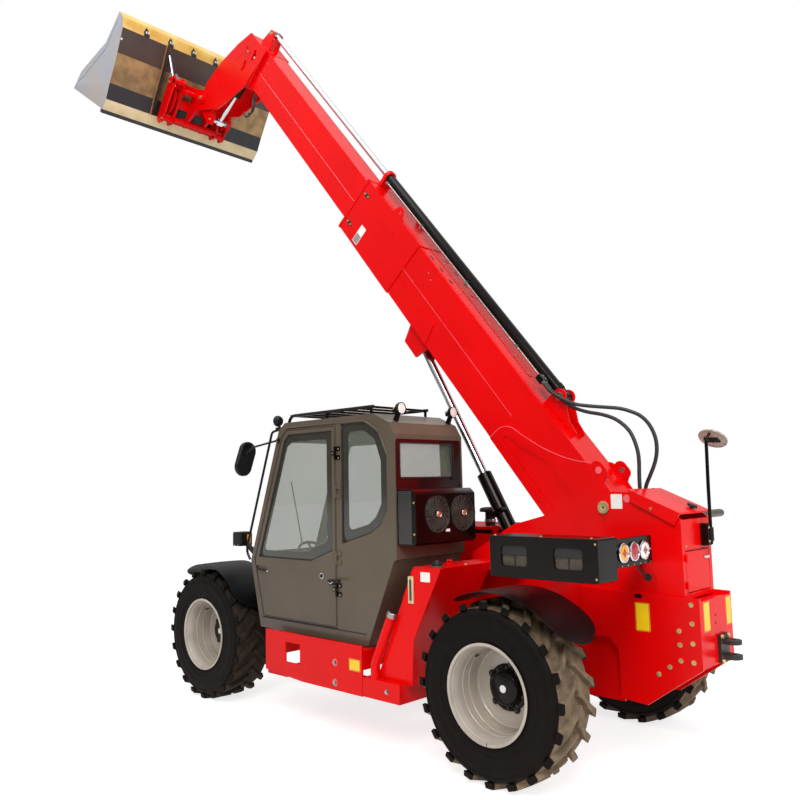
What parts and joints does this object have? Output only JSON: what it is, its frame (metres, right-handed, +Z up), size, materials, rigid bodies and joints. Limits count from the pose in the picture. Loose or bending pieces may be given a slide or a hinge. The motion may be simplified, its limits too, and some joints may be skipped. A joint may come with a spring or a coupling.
{
  "type": "telehandler",
  "caption": "Telescopic handler with a raised two-section boom, wide bucket, left-hand cab, side engine hood and four large steered wheels.",
  "frame": {"origin": "centre of the box's base, on the ground", "axes": "+X forward towards the bucket, +Y left, +Z up"},
  "size_m": [7.7134, 2.27, 7.6761],
  "materials": {
    "red_paint": "gloss",
    "cab_paint": "satin",
    "black_paint": "gloss",
    "black_plastic": "matt",
    "engine_iron": "matt",
    "stub_grey": "satin",
    "chrome_rod": "polished",
    "bucket_steel": "satin",
    "lens": "gloss",
    "window_glass": "clear",
    "seat_fabric": "woven",
    "hose_rubber": "matt",
    "rim_paint": "satin",
    "tyre_rubber": "matt"
  },
  "bodies": {
    "chassis": {"main_frame": "red_paint", "boom_tower": "red_paint", "counterweight": "red_paint", "hitch": "black_paint", "side_sill": "red_paint", "hydraulic_tank": "red_paint", "engine_block": "engine_iron", "exhaust_stub": "stub_grey", "axles": "black_paint", "cab_shell": "cab_paint", "cab_glass": "window_glass", "seat": "seat_fabric", "steering_console": "black_plastic", "roof_guard": "black_paint", "condenser_box": "black_paint", "lamps": "black_plastic", "mirrors": "black_plastic", "side_box": "black_paint", "tail_lights": "lens", "hose_a": "hose_rubber", "hose_b": "hose_rubber"},
    "hood": {"engine_hood": "red_paint", "air_cleaner": "black_plastic"},
    "lid": {"rear_lid": "red_paint"},
    "service_door": {"rear_door": "red_paint"},
    "door": {"cab_door": "cab_paint", "door_glass": "window_glass"},
    "boom": {"boom_outer": "red_paint", "extend_barrel": "black_paint"},
    "telescope": {"boom_inner": "red_paint", "boom_head": "red_paint", "extend_rod": "chrome_rod"},
    "lift_cylinder": {"lift_barrel": "black_paint"},
    "lift_piston": {"lift_rod": "chrome_rod"},
    "tilt_cylinder": {"tilt_barrel": "black_paint"},
    "tilt_piston": {"tilt_rod": "chrome_rod"},
    "tool": {"coupler": "red_paint", "bucket": "bucket_steel"},
    "fan_l": {"fan_left": "black_plastic"},
    "fan_r": {"fan_right": "black_plastic"},
    "swivel_fl": {"knuckle_fl": "black_paint"},
    "wheel_fl": {"tyre_fl": "tyre_rubber", "rim_fl": "rim_paint"},
    "swivel_fr": {"knuckle_fr": "black_paint"},
    "wheel_fr": {"tyre_fr": "tyre_rubber", "rim_fr": "rim_paint"},
    "swivel_rl": {"knuckle_rl": "black_paint"},
    "wheel_rl": {"tyre_rl": "tyre_rubber", "rim_rl": "rim_paint"},
    "swivel_rr": {"knuckle_rr": "black_paint"},
    "wheel_rr": {"tyre_rr": "tyre_rubber", "rim_rr": "rim_paint"}
  },
  "joints": [
    {"name": "boom_lift", "type": "hinge", "parent": "chassis", "child": "boom", "pos_m": [-3.06868, 0, 1.753], "axis": [0, -1, 0], "range_deg": [-54.5, 9], "deforming": ["hose_a", "hose_b"]},
    {"name": "boom_extend", "type": "slide", "parent": "boom", "child": "telescope", "axis": [0.6252, 0, 0.7804], "range_m": [-2.45, 0]},
    {"name": "bucket_tilt", "type": "hinge", "parent": "telescope", "child": "tool", "pos_m": [2.29708, 0, 6.80161], "axis": [0, 1, 0], "range_deg": [-35, 70]},
    {"name": "lift_barrel_swing", "type": "hinge", "parent": "chassis", "child": "lift_cylinder", "pos_m": [-2.48668, 0, 0.83], "axis": [0, -1, 0], "range_deg": [-51, 9]},
    {"name": "lift_rod_slide", "type": "slide", "parent": "lift_cylinder", "child": "lift_piston", "axis": [0.4832, 0, 0.8755], "range_m": [-1.07, 0.18]},
    {"name": "tilt_barrel_swing", "type": "hinge", "parent": "telescope", "child": "tilt_cylinder", "pos_m": [1.29693, 0, 6.99425], "axis": [0, -1, 0], "range_deg": [-2.1, 4.1]},
    {"name": "tilt_rod_slide", "type": "slide", "parent": "tilt_cylinder", "child": "tilt_piston", "axis": [0.8671, 0, -0.4981], "range_m": [-0.337, 0.169]},
    {"name": "door_hinge", "type": "hinge", "parent": "chassis", "child": "door", "pos_m": [-1.09568, 1.011, 1.6], "axis": [0, 0, 1], "range_deg": [0, 85]},
    {"name": "hood_hinge", "type": "hinge", "parent": "chassis", "child": "hood", "pos_m": [-1.10668, -0.27, 1.56], "axis": [-1, 0, 0], "range_deg": [0, 50]},
    {"name": "rear_lid_hinge", "type": "hinge", "parent": "chassis", "child": "lid", "pos_m": [-3.26668, 0, 1.874], "axis": [0, 1, 0], "range_deg": [0, 60]},
    {"name": "service_door_hinge", "type": "hinge", "parent": "chassis", "child": "service_door", "pos_m": [-3.63198, 0.189, 1.33], "axis": [0, 0, -1], "range_deg": [0, 100]},
    {"name": "fan_l_spin", "type": "hinge", "parent": "chassis", "child": "fan_l", "pos_m": [-1.90668, 0.74, 1.715], "axis": [1, 0, 0], "continuous": true},
    {"name": "fan_r_spin", "type": "hinge", "parent": "chassis", "child": "fan_r", "pos_m": [-1.90668, 0.44, 1.715], "axis": [1, 0, 0], "continuous": true},
    {"name": "steer_fl", "type": "hinge", "parent": "chassis", "child": "swivel_fl", "pos_m": [0.67132, 0.76, 0.5875], "axis": [0, 0, 1], "range_deg": [-30, 30]},
    {"name": "spin_fl", "type": "hinge", "parent": "swivel_fl", "child": "wheel_fl", "pos_m": [0.67132, 0.935, 0.5875], "axis": [0, 1, 0], "continuous": true},
    {"name": "steer_fr", "type": "hinge", "parent": "chassis", "child": "swivel_fr", "pos_m": [0.67132, -0.76, 0.5875], "axis": [0, 0, 1], "range_deg": [-30, 30]},
    {"name": "spin_fr", "type": "hinge", "parent": "swivel_fr", "child": "wheel_fr", "pos_m": [0.67132, -0.935, 0.5875], "axis": [0, 1, 0], "continuous": true},
    {"name": "steer_rl", "type": "hinge", "parent": "chassis", "child": "swivel_rl", "pos_m": [-2.66668, 0.76, 0.5875], "axis": [0, 0, -1], "range_deg": [-30, 30]},
    {"name": "spin_rl", "type": "hinge", "parent": "swivel_rl", "child": "wheel_rl", "pos_m": [-2.66668, 0.935, 0.5875], "axis": [0, 1, 0], "continuous": true},
    {"name": "steer_rr", "type": "hinge", "parent": "chassis", "child": "swivel_rr", "pos_m": [-2.66668, -0.76, 0.5875], "axis": [0, 0, -1], "range_deg": [-30, 30]},
    {"name": "spin_rr", "type": "hinge", "parent": "swivel_rr", "child": "wheel_rr", "pos_m": [-2.66668, -0.935, 0.5875], "axis": [0, 1, 0], "continuous": true}
  ],
  "couplings": [
    {"joint": "lift_barrel_swing", "follows": "boom_lift", "ratio": 0.93002},
    {"joint": "lift_rod_slide", "follows": "boom_lift", "m_per_rad": 1.1212},
    {"joint": "tilt_barrel_swing", "follows": "bucket_tilt", "ratio": 0.057085},
    {"joint": "tilt_rod_slide", "follows": "bucket_tilt", "m_per_rad": -0.27437},
    {"joint": "steer_fr", "follows": "steer_fl", "ratio": 1},
    {"joint": "steer_rr", "follows": "steer_rl", "ratio": 1}
  ]
}
